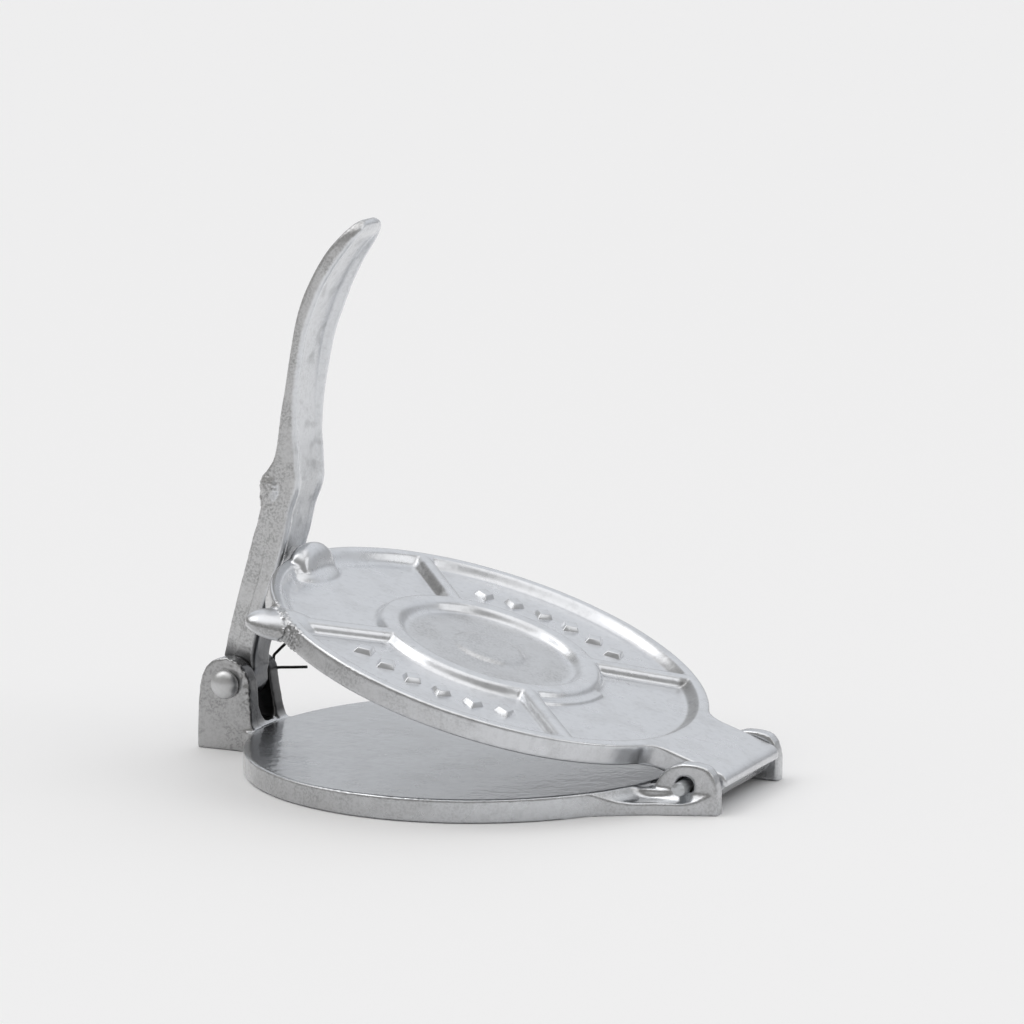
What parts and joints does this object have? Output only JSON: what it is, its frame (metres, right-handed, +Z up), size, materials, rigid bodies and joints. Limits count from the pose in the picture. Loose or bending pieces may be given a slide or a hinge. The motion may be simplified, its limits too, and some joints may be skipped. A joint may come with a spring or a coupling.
{
  "type": "tortilla press",
  "caption": "Round cast press: a lid disc hinged to a base disc, and a lever that folds over the lid to flatten dough between them.",
  "frame": {"origin": "centre of the base disc's underside, on its hub, in the plane that the press stands on", "axes": "+Z up; +X from the lever to the hinge of the two discs; -Y the side with the lever pin's domed head"},
  "size_m": [0.2119, 0.165, 0.1958],
  "materials": {
    "base_plate": "glossy silver paint over sand-cast iron",
    "lid_plate": "glossy silver paint over sand-cast iron",
    "press_lever": "silver paint, grainy on the sides",
    "lever_pin": "satin silver paint on steel",
    "hinge_pin": "satin silver paint on steel",
    "cotter_pin": "black steel wire"
  },
  "bodies": {
    "base": {"base_plate": "base_plate", "hinge_pin": "hinge_pin", "lever_pin": "lever_pin", "cotter_pin": "cotter_pin"},
    "lid": {"lid_plate": "lid_plate"},
    "lever": {"press_lever": "press_lever"}
  },
  "joints": [
    {"name": "lid_hinge", "type": "hinge", "parent": "base", "child": "lid", "pos_m": [0.0933, 0, 0.0092], "axis": [0, 1, 0], "range_deg": [-18.5, 41]},
    {"name": "lever_pivot", "type": "hinge", "parent": "base", "child": "lever", "pos_m": [-0.093, 0, 0.0246], "axis": [0, 1, 0], "range_deg": [-112, 0]}
  ]
}
